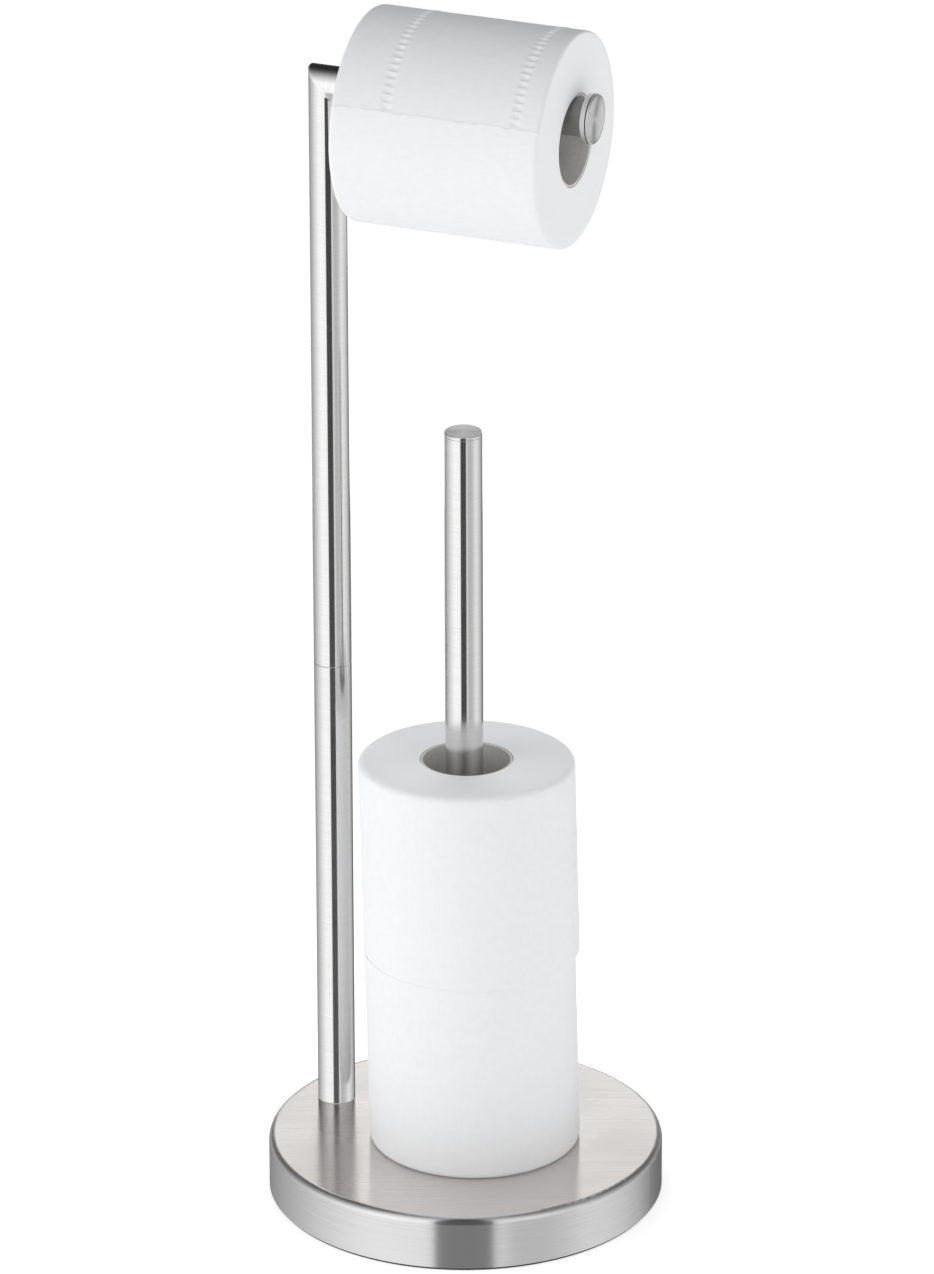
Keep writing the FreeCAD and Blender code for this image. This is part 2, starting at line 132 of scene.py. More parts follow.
def make_brush_marks():
    """Fine lines left by an abrasive belt, and the cloudy traces of handling."""
    group, given, result = new_group("brush_marks", [("Position", "Vector"), ("Across", "Float")],
                                     [("Lines", "Float"), ("Handling", "Float")])
    layers = []
    for (lines_per_metre, along), share in ((FINE_LINES, FINE_SHARE), (COARSE_LINES, 1 - FINE_SHARE)):
        across = maths(group, "MULTIPLY", given["Across"], lines_per_metre)
        stretched = vectors(group, "MULTIPLY", given["Position"], (along, along, along))
        place = vectors(group, "ADD", stretched, node(group, "CombineXYZ", {"X": across}).outputs[0])
        noise = node(group, "TexNoise", {"Vector": place, "Scale": 1.0, "Detail": 2.0}).outputs[0]
        layers.append(maths(group, "MULTIPLY", noise, share))
    lines = maths(group, "ADD", *layers)
    group.links.new(spread(group, lines, 0.25, 0.75), result["Lines"])
    clouds = node(group, "TexNoise", {"Vector": given["Position"], "Scale": 24.0, "Detail": 4.0})
    group.links.new(spread(group, clouds.outputs[0], 0.35, 0.7), result["Handling"])
    return group


brush_marks = make_brush_marks()


def new_material(name):
    """An empty node material with its shader and the object's own coordinates."""
    material = bpy.data.materials.new(name)
    material.use_nodes = True
    tree = material.node_tree
    shader = tree.nodes["Principled BSDF"]
    return material, tree, shader, node(tree, "TexCoord").outputs["Object"]


def brushed_round(tree, position, centre, axis):
    """Distance across lines that run round an axis, and the direction of those lines."""
    arm = vectors(tree, "SUBTRACT", position, tuple(centre))
    along = vectors(tree, "DOT_PRODUCT", arm, tuple(axis))
    lines = vectors(tree, "CROSS_PRODUCT", tuple(axis), arm)
    return maths(tree, "ADD", along, vectors(tree, "LENGTH", lines)), lines


def dress_steel(tree, shader, position, across, lines, roughness=0.13, anisotropy=0.75, tint=STEEL_PLAIN,
                painted_shade=0.0):
    """Satin steel whose reflections are drawn out across its brush lines, with painted shade where given."""
    marks = node(tree, "Group", node_tree=brush_marks)
    tree.links.new(position, marks.inputs["Position"])
    tree.links.new(across, marks.inputs["Across"])
    shade = spread(tree, marks.outputs["Lines"], 0, 1, *LINE_SHADES)
    # Painted shade: the mask given here darkens the colour towards near black and makes the steel rougher.
    tree.links.new(blend(tree, painted_shade, shaded(tree, tint, shade), STEEL_PAINTED_SHADE), shader.inputs["Base Color"])
    streaks = spread(tree, marks.outputs["Lines"], 0, 1, *LINE_GLOSS)
    clouds = maths(tree, "MULTIPLY", marks.outputs["Handling"], HANDLING_DULLS)
    shade_dulling = maths(tree, "MULTIPLY", painted_shade, PAINTED_SHADE_DULLS)
    rough = maths(tree, "ADD", maths(tree, "ADD", roughness, streaks), maths(tree, "ADD", clouds, shade_dulling))
    tree.links.new(rough, shader.inputs["Roughness"])
    relief = {"Height": marks.outputs["Lines"], "Strength": LINE_RELIEF, "Distance": LINE_DEPTH}
    bump = node(tree, "Bump", relief)
    tree.links.new(bump.outputs[0], shader.inputs["Normal"])
    facing = node(tree, "NewGeometry").outputs["Normal"]
    tree.links.new(vectors(tree, "CROSS_PRODUCT", facing, lines), shader.inputs["Tangent"])
    shader.inputs["Metallic"].default_value = 1.0
    shader.inputs["Anisotropic"].default_value = anisotropy


def finish_with(piece, material):
    piece.data.materials.clear()
    piece.data.materials.append(material)


def cover_steel():
    material, tree, shader, position = new_material("base_cover_steel")
    facing_up = node(tree, "SeparateXYZ", {0: node(tree, "NewGeometry").outputs["Normal"]}).outputs["Z"]
    top = spread(tree, facing_up, *TOP_FACING)
    grain = (math.cos(TOP_BRUSHING), math.sin(TOP_BRUSHING), 0)
    across_top = vectors(tree, "DOT_PRODUCT", position, (-grain[1], grain[0], 0))
    across_skirt, round_lines = brushed_round(tree, position, (0, 0, 0), (0, 0, 1))
    across = blend(tree, top, across_skirt, across_top, "FLOAT")
    grain_lines = blend(tree, top, round_lines, grain, "VECTOR")
    # Painted light: the top is given a lighter, warmer tone than the skirt of the same sheet.
    tint = blend(tree, top, STEEL_COOL, STEEL_TOP_PAINTED_LIGHT)
    sheen = blend(tree, top, SKIRT_ROUGHNESS, TOP_ROUGHNESS, "FLOAT")
    dress_steel(tree, shader, position, across, grain_lines, roughness=sheen, anisotropy=0.95, tint=tint)
    return material


finish_with(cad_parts["base_cover"], cover_steel())

# Ballast: a disc of cast concrete glued inside the cover, with two screw holes counterbored from below.
# It never shows, but keeps its grey cement with fine stones and air holes.
CEMENT = (0.34, 0.33, 0.31, 1)
STONES = (0.2, 0.19, 0.18, 1)


def cast_concrete():
    material, tree, shader, position = new_material("cast_concrete")
    stones = node(tree, "TexVoronoi", {"Vector": position, "Scale": 420.0}).outputs["Distance"]
    dust = node(tree, "TexNoise", {"Vector": position, "Scale": 160.0, "Detail": 6.0}).outputs[0]
    share = maths(tree, "MULTIPLY", spread(tree, stones, 0.15, 0.4, 1.0, 0.0), spread(tree, dust, 0.4, 0.6))
    tree.links.new(blend(tree, share, CEMENT, STONES), shader.inputs["Base Color"])
    tree.links.new(spread(tree, dust, 0, 1, 0.8, 0.98), shader.inputs["Roughness"])
    bump = node(tree, "Bump", {"Height": dust, "Strength": 0.5, "Distance": 0.4 * MM})
    tree.links.new(bump.outputs[0], shader.inputs["Normal"])
    return material


finish_with(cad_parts["base_weight"], cast_concrete())

# Foot pad: black non-slip rubber stuck under the ballast, a little proud of the cover's edge.
# Its face has a fine moulded grain and some grey dust from the floor.
RUBBER = (0.022, 0.022, 0.023, 1)
RUBBER_DUST = (0.09, 0.088, 0.084, 1)


def pad_rubber():
    material, tree, shader, position = new_material("pad_rubber")
    grain = node(tree, "TexVoronoi", {"Vector": position, "Scale": 900.0}).outputs["Distance"]
    dust = node(tree, "TexNoise", {"Vector": position, "Scale": 55.0, "Detail": 5.0}).outputs[0]
    share = spread(tree, dust, 0.5, 0.8, 0.0, 0.7)
    tree.links.new(blend(tree, share, RUBBER, RUBBER_DUST), shader.inputs["Base Color"])
    tree.links.new(spread(tree, dust, 0.2, 0.8, 0.6, 0.9), shader.inputs["Roughness"])
    bump = node(tree, "Bump", {"Height": grain, "Strength": 0.4, "Distance": 0.2 * MM})
    tree.links.new(bump.outputs[0], shader.inputs["Normal"])
    return material


finish_with(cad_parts["base_pad"], pad_rubber())

# Straight tubes: the post's lower length and the storage rod, cut from welded stainless tube.
# Centreless belts brush them round, so reflections stay crisp sideways and run out along the tube.
UP = Vector((0, 0, 1))


def middle(name):
    low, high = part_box(name)
    return (low + high) / 2


def upright_steel(name, piece):
    """Steel that is brushed round the upright middle line of a piece."""
    material, tree, shader, position = new_material(name)
    across, lines = brushed_round(tree, position, middle(piece), UP)
    dress_steel(tree, shader, position, across, lines)
    return material


for tube in ("post_lower_tube", "storage_rod_tube"):
    finish_with(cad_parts[tube], upright_steel(f"{tube}_steel", tube))

# Rod cap: a thin turned lid with a spigot pressed into the top of the storage rod.
# Its flat face carries the rings of the lathe.
finish_with(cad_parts["storage_rod_top_cap"], upright_steel("rod_cap_steel", "storage_rod_top_cap"))

# Threaded plugs, joining stud, screws and washers: zinc-plated mild steel, hidden in the tubes and the base.
# The plugs are fixed in the tube ends, the stud joins the post, and the screws hold both tubes from below.
ZINC = (0.5, 0.51, 0.52, 1)
ZINC_YELLOW = (0.56, 0.53, 0.44, 1)
THREAD_PITCH = 1.25 * MM


def zinc_plating(name, axis):
    """Cloudy plating over a fine thread that is cut round the axis."""
    material, tree, shader, position = new_material(name)
    along = vectors(tree, "DOT_PRODUCT", position, tuple(axis))
    thread = maths(tree, "SINE", maths(tree, "MULTIPLY", along, math.tau / THREAD_PITCH))
    clouds = node(tree, "TexNoise", {"Vector": position, "Scale": 140.0, "Detail": 4.0}).outputs[0]
    tree.links.new(blend(tree, spread(tree, clouds, 0.4, 0.7), ZINC, ZINC_YELLOW),
                   shader.inputs["Base Color"])
    tree.links.new(spread(tree, clouds, 0.2, 0.8, 0.28, 0.48), shader.inputs["Roughness"])
    bump = node(tree, "Bump", {"Height": thread, "Strength": 0.3, "Distance": 0.2 * MM})
    tree.links.new(bump.outputs[0], shader.inputs["Normal"])
    shader.inputs["Metallic"].default_value = 1.0
    return material


upright_zinc = zinc_plating("zinc_plating", UP)
for fixing in ("post_foot_insert", "post_lower_top_insert", "post_upper_bottom_insert",
               "storage_rod_foot_insert", "post_joining_stud", "fixing_screws", "fixing_washers"):
    finish_with(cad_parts[fixing], upright_zinc)
finish_with(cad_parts["arm_end_insert"], zinc_plating("arm_plug_zinc", (1, 0, 0)))

# Upper post and arm: two lengths of the same tube, mitred at 45 degrees, welded and ground smooth.
# The grinding leaves a soft edge all round the joint, and the lower end is eased where it meets the lower
# tube. Where the arm runs into the core it is painted darker and rougher, as painted shade.
TUBE_RADIUS = (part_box("post_upper_tube")[1].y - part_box("post_upper_tube")[0].y) / 2
TUBE_WALL = 1.0 * MM
TUBE_SIDES = 144
MITRE_SOFTNESS = 1.2 * MM
END_EASE = 0.3 * MM
POST_X = middle("post_upper_tube").x
POST_Y = middle("post_upper_tube").y
POST_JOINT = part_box("post_upper_tube")[0].z
ARM_HEIGHT = middle("arm_tube").z
ARM_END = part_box("arm_tube")[1].x
CORNER = Vector((POST_X, POST_Y, ARM_HEIGHT))
MITRE_NORMAL = Vector((1, 0, 1)).normalized()
MITRE_BLEND = 0.3 * MM
# Painted shade on the arm starts at the core's near end and fades in over a short length.
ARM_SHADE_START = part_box("hanging_roll_core")[0].x
ARM_SHADE_FADE = 8 * MM
ARM_PAINTED_SHADE = 0.5
TOUCH = 0.01 * MM
RIM_REACH = 0.1 * MM


def pick(piece, kind, wanted):
    """In edit mode, selects the points or edges of the piece that lie where wanted(place) is true."""
    bpy.ops.mesh.select_mode(type=kind)
    bpy.ops.mesh.select_all(action="DESELECT")
    form = bmesh.from_edit_mesh(piece.data)
    for part in form.verts if kind == "VERT" else form.edges:
        corners = [part] if kind == "VERT" else part.verts
        part.select_set(all(wanted(corner.co) for corner in corners))
    bmesh.update_edit_mesh(piece.data)


def start_piece(name):
    """Names the primitive that was just added, and opens it for editing."""
    piece = bpy.context.object
    piece.name = name
    piece.data.name = name
    bpy.ops.object.mode_set(mode="EDIT")
    return piece


def add_modifier(piece, kind, **settings):
    """Adds a modifier with its settings and applies it."""
    bpy.context.view_layer.objects.active = piece
    made = piece.modifiers.new(kind.title(), kind)
    for key, value in settings.items():
        setattr(made, key, value)
    bpy.ops.object.modifier_apply(modifier=made.name)


def settle(piece):
    """Puts the place and turn of a finished piece into its mesh."""
    bpy.ops.object.select_all(action="DESELECT")
    piece.select_set(True)
    bpy.context.view_layer.objects.active = piece
    bpy.ops.object.transform_apply(location=True, rotation=True, scale=True)


def open_tube(name, start, length, turn):
    """A bare round tube wall from its start point, upright or laid along the arm, cut off at the mitre."""
    way = Matrix.Rotation(turn, 3, "Y") @ UP
    bpy.ops.object.select_all(action="DESELECT")
    bpy.ops.mesh.primitive_cylinder_add(vertices=TUBE_SIDES, radius=TUBE_RADIUS, depth=length,
                                        end_fill_type="NOTHING", location=start + way * length / 2,
                                        rotation=(0, turn, 0))
    settle(bpy.context.object)
    piece = start_piece(name)
    bpy.ops.mesh.select_all(action="SELECT")
    upright = turn == 0
    bpy.ops.mesh.bisect(plane_co=CORNER, plane_no=MITRE_NORMAL, clear_outer=upright, clear_inner=not upright)
    bpy.ops.object.mode_set(mode="OBJECT")
    return piece


def make_mitred_tube():
    post = open_tube("post_and_arm", Vector((POST_X, POST_Y, POST_JOINT)),
                     ARM_HEIGHT - POST_JOINT + 2 * TUBE_RADIUS, 0)
    arm_start = Vector((POST_X - 2 * TUBE_RADIUS, POST_Y, ARM_HEIGHT))
    arm = open_tube("arm_wall", arm_start, ARM_END - arm_start.x, math.pi / 2)
    bpy.ops.object.select_all(action="DESELECT")
    arm.select_set(True)
    post.select_set(True)
    bpy.context.view_layer.objects.active = post
    bpy.ops.object.join()
    bpy.ops.object.mode_set(mode="EDIT")
    bpy.ops.mesh.select_all(action="SELECT")
    bpy.ops.mesh.remove_doubles(threshold=TOUCH)
    bpy.ops.mesh.normals_make_consistent(inside=False)
    pick(post, "EDGE", lambda co: abs((co - CORNER).dot(MITRE_NORMAL)) < TOUCH)
    bpy.ops.mesh.bevel(offset=MITRE_SOFTNESS, segments=5, affect="EDGES", clamp_overlap=True)
    bpy.ops.object.mode_set(mode="OBJECT")
    add_modifier(post, "SOLIDIFY", thickness=TUBE_WALL, offset=-1.0)
    bpy.ops.object.mode_set(mode="EDIT")

    def on_outer_rim(co):
        from_post = Vector((co.x - POST_X, co.y - POST_Y)).length
        from_arm = Vector((co.y - POST_Y, co.z - ARM_HEIGHT)).length
        foot = abs(co.z - POST_JOINT) < TOUCH and from_post > TUBE_RADIUS - RIM_REACH
        end = abs(co.x - ARM_END) < TOUCH and from_arm > TUBE_RADIUS - RIM_REACH
        return foot or end

    pick(post, "EDGE", on_outer_rim)
    bpy.ops.mesh.bevel(offset=END_EASE, segments=2, affect="EDGES")
    bpy.ops.object.mode_set(mode="OBJECT")
    bpy.ops.object.shade_smooth_by_angle(angle=math.radians(32))
    add_modifier(post, "WEIGHTED_NORMAL", keep_sharp=True)
    return post


def mitred_steel():
    """Brushing round the post and round the arm beyond the mitre, with painted shade inside the core."""
    material, tree, shader, position = new_material("post_and_arm_steel")
    from_corner = vectors(tree, "SUBTRACT", position, tuple(CORNER))
    beyond = vectors(tree, "DOT_PRODUCT", from_corner, tuple(MITRE_NORMAL))
    on_arm = spread(tree, beyond, -MITRE_BLEND, MITRE_BLEND)
    across_post, round_post = brushed_round(tree, position, CORNER, UP)
    across_arm, round_arm = brushed_round(tree, position, CORNER, (1, 0, 0))
    across = blend(tree, on_arm, across_post, across_arm, "FLOAT")
    lines = blend(tree, on_arm, round_post, round_arm, "VECTOR")
    along = node(tree, "SeparateXYZ", {0: position}).outputs["X"]
    # Painted shade: the arm is darkened and roughened inside the core, where the core's shade falls.
    arm_in_shade = spread(tree, along, ARM_SHADE_START, ARM_SHADE_START + ARM_SHADE_FADE, 0.0, ARM_PAINTED_SHADE)
    dress_steel(tree, shader, position, across, lines, painted_shade=arm_in_shade)
    return material


post_and_arm = make_mitred_tube()
finish_with(post_and_arm, mitred_steel())
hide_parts("post_upper_tube", "arm_tube")
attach(post_and_arm, "stand")

# End knob: a turned steel button screwed into the arm, wider than the arm so that the roll stays on.
# A line is cut round its rim, and its dished face shows the rings of the lathe.
KNOB_LINE_BACK = 1.7 * MM
KNOB_LINE_WIDTH = 0.6 * MM
KNOB_LINE_DEPTH = 0.5 * MM
KNOB_LINE_PAINTED_SHADE = 0.9
KNOB_ROUGHNESS = 0.23
KNOB_RADIUS = (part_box("arm_end_knob")[1].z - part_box("arm_end_knob")[0].z) / 2
KNOB_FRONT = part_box("arm_end_knob")[1].x


def knob_steel():
    """Turned steel, with painted shade in the line round its rim."""
    material, tree, shader, position = new_material("end_knob_steel")
    across, lines = brushed_round(tree, position, middle("arm_end_knob"), (1, 0, 0))
    depth = maths(tree, "SUBTRACT", KNOB_RADIUS, vectors(tree, "LENGTH", lines))
    behind = maths(tree, "SUBTRACT", KNOB_FRONT, node(tree, "SeparateXYZ", {0: position}).outputs["X"])
    half_line = KNOB_LINE_WIDTH / 2
    # Painted shade: the line cut round the rim is darkened where it is deep.
    in_line = maths(tree, "COMPARE", behind, KNOB_LINE_BACK - half_line, half_line + 5 * TOUCH)
    cut_deep = spread(tree, depth, 0, KNOB_LINE_DEPTH / 2)
    painted_shade = maths(tree, "MULTIPLY", maths(tree, "MULTIPLY", in_line, cut_deep), KNOB_LINE_PAINTED_SHADE)
    dress_steel(tree, shader, position, across, lines, roughness=KNOB_ROUGHNESS, painted_shade=painted_shade)
    return material


finish_with(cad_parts["arm_end_knob"], knob_steel())

# Cardboard cores: grey board wound in a spiral and glued, inside each roll.
# The lap of the spiral stands out as a slight ridge on the inside.
BOARD = (0.74, 0.73, 0.715, 1)
BOARD_FIBRE = (0.63, 0.62, 0.605, 1)
BOARD_INSET = 0.8 * MM
CORE_WALL = 1.1 * MM
CORE_SHORT = 0.4 * MM
CORE_SIDES = 144
CORE_ROWS = 60
SPIRAL_RISE = 75 * MM
SPIRAL_RIDGE = 0.15 * MM
SPIRAL_RIDGE_WIDTH = 3 * MM


def add_section(name, inside, outside, foot, head):
    """A flat rectangle in the XZ plane, the half section of a roll or core."""
    bpy.ops.object.select_all(action="DESELECT")
    bpy.ops.mesh.primitive_plane_add(size=1)
    corners = ((inside, foot), (outside, foot), (inside, head), (outside, head))
    for vertex, (radius, height) in zip(bpy.context.object.data.vertices, corners):
        vertex.co = (radius, 0, height)
    return start_piece(name)


def cut_edges(piece, wanted, cuts):
    pick(piece, "EDGE", wanted)
    bpy.ops.mesh.subdivide(number_cuts=cuts)


def read_points(piece):
    points = np.empty(len(piece.data.vertices) * 3)
    piece.data.vertices.foreach_get("co", points)
    return points.reshape(-1, 3)


def write_points(piece, points):
    piece.data.vertices.foreach_set("co", points.ravel())
    piece.data.update()


def make_core(name, length):
    """A board tube about Z, from the XY plane upwards."""
    inside = CORE_BORE / 2
    piece = add_section(name, inside, inside + CORE_WALL, CORE_SHORT, length - CORE_SHORT)
    bpy.ops.mesh.delete(type="ONLY_FACE")
    cut_edges(piece, lambda co: co.x < inside + TOUCH, CORE_ROWS)
    bpy.ops.mesh.select_all(action="SELECT")
    bpy.ops.mesh.spin(steps=CORE_SIDES, angle=math.tau, center=(0, 0, 0), axis=(0, 0, 1))
    bpy.ops.mesh.select_all(action="SELECT")
    bpy.ops.mesh.remove_doubles(threshold=TOUCH)
    bpy.ops.mesh.normals_make_consistent(inside=False)
    bpy.ops.object.mode_set(mode="OBJECT")
    points = read_points(piece)
    radius = np.hypot(points[:, 0], points[:, 1])
    turns = np.arctan2(points[:, 1], points[:, 0]) / math.tau
    from_lap = ((points[:, 2] / SPIRAL_RISE - turns + 0.5) % 1.0 - 0.5) * SPIRAL_RISE
    ridge = SPIRAL_RIDGE * np.clip(1 - np.abs(from_lap) / SPIRAL_RIDGE_WIDTH, 0, 1)
    ridge[radius > inside + CORE_WALL / 2] = 0
    points[:, :2] *= ((radius + ridge) / radius)[:, None]
    write_points(piece, points)
    bpy.ops.object.shade_smooth_by_angle(angle=math.radians(40))
    return piece


def core_board():
    material, tree, shader, position = new_material("core_board")
    fibres = node(tree, "TexNoise", {"Vector": vectors(tree, "MULTIPLY", position, (1.0, 1.0, 0.35)),
                                     "Scale": 900.0, "Detail": 6.0}).outputs[0]
    clouds = node(tree, "TexNoise", {"Vector": position, "Scale": 90.0, "Detail": 3.0}).outputs[0]
    share = maths(tree, "ADD", maths(tree, "MULTIPLY", spread(tree, fibres, 0.35, 0.7), 0.6),
                  maths(tree, "MULTIPLY", clouds, 0.4))
    tree.links.new(blend(tree, share, BOARD, BOARD_FIBRE), shader.inputs["Base Color"])
    tree.links.new(spread(tree, fibres, 0.2, 0.8, 0.8, 0.95), shader.inputs["Roughness"])
    bump = node(tree, "Bump", {"Height": fibres, "Strength": 0.25, "Distance": 0.1 * MM})
    tree.links.new(bump.outputs[0], shader.inputs["Normal"])
    shader.inputs["Specular IOR Level"].default_value = 0.25
    return material


ROLL_AXIS = middle("hanging_roll_core")
ROLL_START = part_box("hanging_roll_core")[0].x
ROLL_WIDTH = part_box("hanging_roll_core")[1].x - ROLL_START
CORE_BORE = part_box("hanging_roll_core")[1].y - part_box("hanging_roll_core")[0].y - 2 * BOARD_INSET
PAPER_END_HEIGHT = math.radians(23)


def hang_on_arm(piece):
    """Lays a form made about Z along the arm, with its start at the paper's free end on the roll's front."""
    end = Vector((0, -math.cos(PAPER_END_HEIGHT), math.sin(PAPER_END_HEIGHT)))
    arm = Vector((1, 0, 0))
    turn = Matrix((end, arm.cross(end), arm)).transposed().to_4x4()
    piece.data.transform(Matrix.Translation((ROLL_START, ROLL_AXIS.y, ROLL_AXIS.z)) @ turn)


board = core_board()
hanging_core = make_core("hanging_roll_board", ROLL_WIDTH)
hang_on_arm(hanging_core)

CAMERA_SIDE = math.radians(21.63)
LEANS = {"lower_spare_roll": (1.7 * MM, -0.5 * MM), "upper_spare_roll": (0.4 * MM, -1.9 * MM)}


def stand_on_rod(piece, roll, turn):
    """Puts a form made about Z on its place in the stack, leaning a little as loose rolls do."""
    low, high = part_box(f"{roll}_core")
    foot, head = LEANS[roll]
    lean = Vector((math.cos(CAMERA_SIDE), math.sin(CAMERA_SIDE), 0))
    skew = Matrix.Identity(4)
    skew.col[2] = (lean * (head - foot) / (high.z - low.z) + UP).to_4d()
    skew.col[2].w = 0
    place = Vector(((low.x + high.x) / 2, (low.y + high.y) / 2, low.z)) + lean * foot
    piece.data.transform(Matrix.Translation(place) @ skew @ Matrix.Rotation(turn, 4, "Z"))


spare_cores = {}
for roll in LEANS:
    low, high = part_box(f"{roll}_core")
    spare_cores[roll] = make_core(f"{roll}_board", high.z - low.z)
    stand_on_rod(spare_cores[roll], roll, 0)
for roll, core in (("hanging_roll", hanging_core), *spare_cores.items()):
    finish_with(core, board)
    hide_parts(f"{roll}_core")
    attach(core, roll)

# Wound paper: soft white two-ply tissue, wound on the core in one long sheet, embossed in two dotted bands
# that hold its plies together. On the roll in use the free end lies on the front, and its edge faces up.
TISSUE = (0.9, 0.906, 0.918, 1)
# Roll in use beyond its last sheet: the same paper painted darker, as painted shade.
TISSUE_PAINTED_SHADE = (0.865, 0.871, 0.883, 1)
# End faces of the rolls: the same paper painted lighter, as painted light.
TISSUE_ENDS_PAINTED_LIGHT = (0.93, 0.935, 0.945, 1)
TISSUE_SHADE = 0.97
CORE_TO_PAPER = 0.3 * MM
EMBOSS_DEPTH = 0.8 * MM
EMBOSS_PITCH = 4.0 * MM
EMBOSS_WIDTH = 5 * MM
EMBOSS_FLOOR = -0.4
EMBOSS_SINK = 0.7
UNEVENNESS = 0.07 * MM
END_RINGS = 9
SIDE_STARTS = (-2.5 * MM, -0.5 * MM)
FREE_END_STEP = 0.2 * MM
TEAR_REACH = 2 * MM


def perforation(height):
    """The free end's edge, torn along a row of perforations."""
    waves = ((0.2, 1.3, 0), (0.2, 5.1, 1), (0.15, 2.9, 2))
    return sum(size * MM * np.sin(height / (length * MM) + start) for size, length, start in waves)


def wind_paper(name, outside, width, edges, steps, rows, relief):
    """Paper about Z from the XY plane up: a section with soft edges, spun in a spiral from its free end."""
    inside = CORE_BORE / 2 + CORE_WALL + CORE_TO_PAPER
    piece = add_section(name, inside, outside, 0, width)
    for end, edge in zip((0, width), edges):
        pick(piece, "VERT", lambda co: co.x > outside - TOUCH and abs(co.z - end) < TOUCH)
        bpy.ops.mesh.bevel(offset=edge, segments=6, affect="VERTICES")
    bpy.ops.mesh.select_all(action="SELECT")
    bpy.ops.mesh.delete(type="ONLY_FACE")
    cut_edges(piece, lambda co: co.x > outside - TOUCH, rows)
    for end, edge in zip((0, width), edges):
        cut_edges(piece, lambda co: co.x < outside - edge + TOUCH and abs(co.z - end) < TOUCH, END_RINGS)
    bpy.ops.object.mode_set(mode="OBJECT")
    count = len(piece.data.vertices)
    bpy.ops.object.mode_set(mode="EDIT")
    bpy.ops.mesh.select_all(action="SELECT")
    bpy.ops.mesh.spin(steps=steps, angle=math.tau, center=(0, 0, 0), axis=(0, 0, 1), use_auto_merge=False)
    bpy.ops.object.mode_set(mode="OBJECT")
    points = read_points(piece)
    height = points[:, 2]
    radius = np.hypot(points[:, 0], points[:, 1])
    angle = math.tau * (np.arange(len(points)) // count) / steps
    edge = np.where(height < width / 2, *edges)
    on_side = np.clip((radius - outside + edge) / edge, 0, 1) ** 2
    wound = radius + (relief(angle, height) - FREE_END_STEP * angle / math.tau) * on_side
    torn = angle + perforation(height) * on_side * np.exp(-angle * outside / TEAR_REACH) / outside
    points[:, 0] = wound * np.cos(torn)
    points[:, 1] = wound * np.sin(torn)
    write_points(piece, points)
    unrolled = piece.data.attributes.new("unrolled", "FLOAT_VECTOR", "POINT")
    unrolled.data.foreach_set("vector", np.c_[angle * outside, height, radius - outside].ravel())
    bpy.ops.object.mode_set(mode="EDIT")
    bpy.ops.mesh.select_mode(type="EDGE")
    bpy.ops.mesh.select_all(action="DESELECT")
    bpy.ops.mesh.select_non_manifold(use_wire=False, use_multi_face=False, use_non_contiguous=False,
                                     use_verts=False)
    bpy.ops.mesh.bridge_edge_loops()
    bpy.ops.mesh.remove_doubles(threshold=TOUCH / 10)
    bpy.ops.mesh.select_all(action="SELECT")
    bpy.ops.mesh.normals_make_consistent(inside=False)
    bpy.ops.object.mode_set(mode="OBJECT")
    bpy.ops.object.shade_smooth_by_angle(angle=math.radians(50))
    return piece


def softness(angle, height):
    """Slow unevenness of a soft roll, from a few waves round it and along it."""
    waves = (np.sin(3 * angle + 0.7) * np.sin(height / (19 * MM) + 0.4)
             + np.sin(5 * angle + 2.1) * np.sin(height / (11 * MM) + 1.9)
             + 0.6 * np.sin(11 * angle + 0.3) * np.sin(height / (7 * MM)))
    return UNEVENNESS * waves


def dotted_bands(angle, height, centres, outside):
    """Rows of small pillows round the roll."""
    pillows = np.clip(np.cos(math.tau * angle * outside / EMBOSS_PITCH), EMBOSS_FLOOR, 1)
    bands = sum(np.clip(1 - ((height - centre) / (EMBOSS_WIDTH / 2)) ** 2, 0, 1) for centre in centres)
    return EMBOSS_DEPTH * bands * (pillows - EMBOSS_SINK)


def tissue(name, sheet_length):
    """Creped fibres along the sheet, and end faces painted lighter as painted light.
    What lies below the last stretch, as long as given, is painted darker as painted shade.
    """
    material, tree, shader, _ = new_material(name)
    unrolled = node(tree, "Attribute", attribute_name="unrolled").outputs["Vector"]
    crepe = node(tree, "TexNoise", {"Vector": vectors(tree, "MULTIPLY", unrolled, (900.0, 160.0, 2600.0)),
                                    "Scale": 1.0, "Detail": 3.0}).outputs[0]
    fluff = node(tree, "TexNoise", {"Vector": vectors(tree, "MULTIPLY", unrolled, (200.0, 200.0, 1500.0)),
                                    "Scale": 1.0, "Detail": 5.0}).outputs[0]
    share = maths(tree, "ADD", maths(tree, "MULTIPLY", crepe, 0.5), maths(tree, "MULTIPLY", fluff, 0.5))
    place = node(tree, "SeparateXYZ", {0: unrolled}).outputs
    # Painted shade: past the last sheet the paper takes a darker tone of the same tissue.
    in_painted_shade = maths(tree, "GREATER_THAN", place["X"], sheet_length)
    side = spread(tree, place["Z"], *SIDE_STARTS)
    # Painted light: the end faces, below the outer surface, take a lighter tone of the same tissue.
    colour = blend(tree, side, TISSUE_ENDS_PAINTED_LIGHT, blend(tree, in_painted_shade, TISSUE, TISSUE_PAINTED_SHADE))
    shade = spread(tree, share, 0.3, 0.7, TISSUE_SHADE, 1.0)
    tree.links.new(shaded(tree, colour, shade), shader.inputs["Base Color"])
    tree.links.new(spread(tree, fluff, 0.2, 0.8, 0.85, 1.0), shader.inputs["Roughness"])
    bump = node(tree, "Bump", {"Height": share, "Strength": 0.12, "Distance": 0.1 * MM})
    tree.links.new(bump.outputs[0], shader.inputs["Normal"])
    shader.inputs["Specular IOR Level"].default_value = 0.15
    return material


